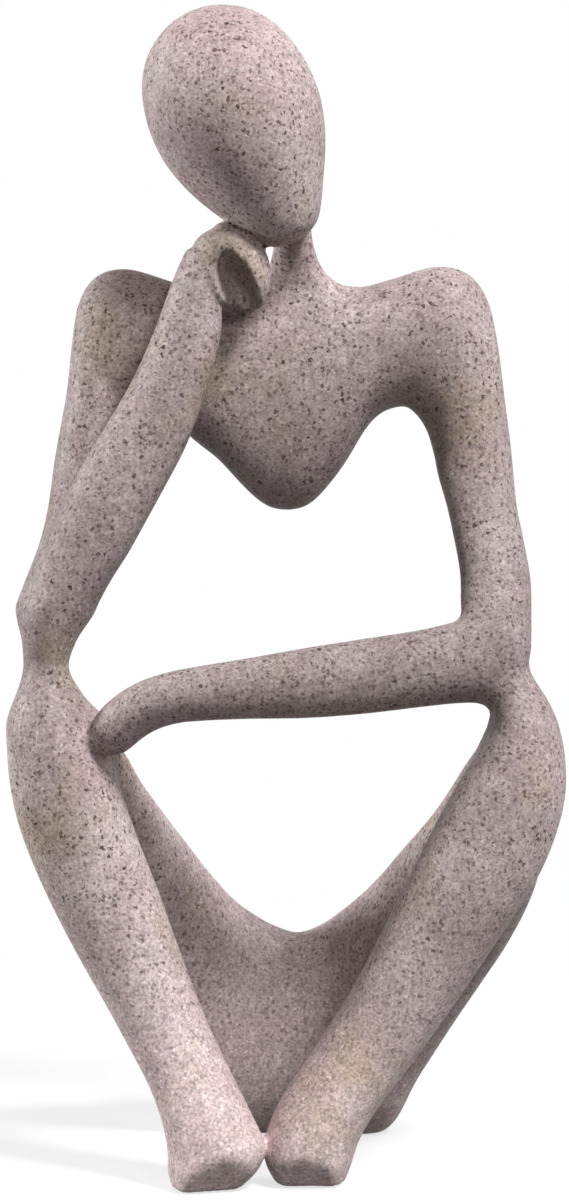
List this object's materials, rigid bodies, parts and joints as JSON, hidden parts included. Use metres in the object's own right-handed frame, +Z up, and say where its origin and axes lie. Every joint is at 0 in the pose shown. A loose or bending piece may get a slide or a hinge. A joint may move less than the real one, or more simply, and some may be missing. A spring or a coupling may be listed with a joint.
{
  "type": "thinker statue",
  "caption": "Abstract faceless seated figure in sandstone-coloured resin, elbows on its knees and chin on a curled hand, with open gaps between slender limbs.",
  "frame": {"origin": "middle of the figure's footprint, at the height of the table that its feet and seat rest on", "axes": "+Z up, -Y the way the figure faces, +X towards its own left side"},
  "size_m": [0.126, 0.0948, 0.2616],
  "materials": {
    "sandstone_resin": "satin speckled sandstone effect",
    "dowel_steel": "plain drawn steel"
  },
  "bodies": {
    "root": {"head": "sandstone_resin", "torso": "sandstone_resin", "raised_upper_arm": "sandstone_resin", "raised_forearm": "sandstone_resin", "resting_upper_arm": "sandstone_resin", "crossing_forearm": "sandstone_resin", "raised_lower_leg": "sandstone_resin", "resting_lower_leg": "sandstone_resin", "raised_thigh": "sandstone_resin", "resting_thigh": "sandstone_resin", "pelvis": "sandstone_resin", "neck_dowel": "dowel_steel", "raised_shoulder_dowel": "dowel_steel", "resting_shoulder_dowel": "dowel_steel", "raised_elbow_dowel": "dowel_steel", "resting_elbow_dowel": "dowel_steel", "raised_elbow_rest_dowel": "dowel_steel", "resting_elbow_rest_dowel": "dowel_steel", "hand_rest_dowel": "dowel_steel", "chin_dowel": "dowel_steel", "raised_hip_dowel": "dowel_steel", "resting_hip_dowel": "dowel_steel", "raised_knee_dowel": "dowel_steel", "resting_knee_dowel": "dowel_steel"}
  },
  "joints": []
}
